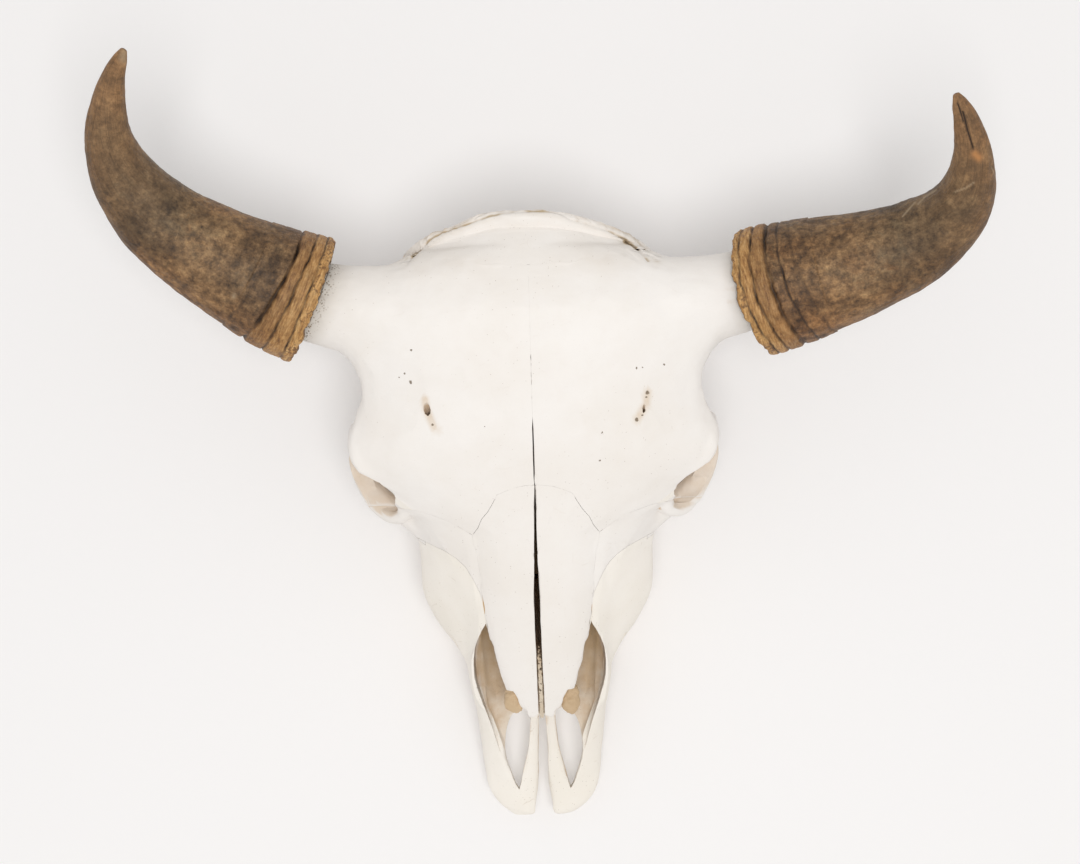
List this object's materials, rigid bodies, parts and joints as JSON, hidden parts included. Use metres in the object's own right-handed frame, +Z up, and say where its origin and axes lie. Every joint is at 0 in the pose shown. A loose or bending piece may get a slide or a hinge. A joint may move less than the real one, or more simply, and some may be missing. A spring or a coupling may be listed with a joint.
{
  "type": "bison skull",
  "caption": "Weathered skull of a bull bison without its lower jaw, with both horn sheaths, lying on its cheek teeth and the processes beside the back of the head.",
  "frame": {"origin": "on the floor, under the centre of the bounding box", "axes": "+X to the animal's left, +Y from the nose towards the back of the head, +Z up from the floor it lies on"},
  "size_m": [0.7376, 0.6614, 0.3436],
  "materials": {
    "bone": "matt, sun-bleached bone with fine pores and faint seams",
    "jaw_bone": "matt bleached bone with worn ivory cheek teeth",
    "horn": "weathered grey-brown horn with lengthwise grain and ringed ochre roots"
  },
  "bodies": {
    "root": {"frontal_left": "bone", "frontal_right": "bone", "nasal_left": "bone", "nasal_right": "bone", "lacrimal_left": "bone", "lacrimal_right": "bone", "zygomatic_left": "bone", "zygomatic_right": "bone", "maxilla_left": "jaw_bone", "maxilla_right": "jaw_bone", "premaxilla_left": "bone", "premaxilla_right": "bone", "temporal_left": "bone", "temporal_right": "bone", "parietal": "bone", "occipital": "bone", "skull_base": "bone", "vomer": "bone", "horn_sheath_left": "horn", "horn_sheath_right": "horn"}
  },
  "joints": []
}
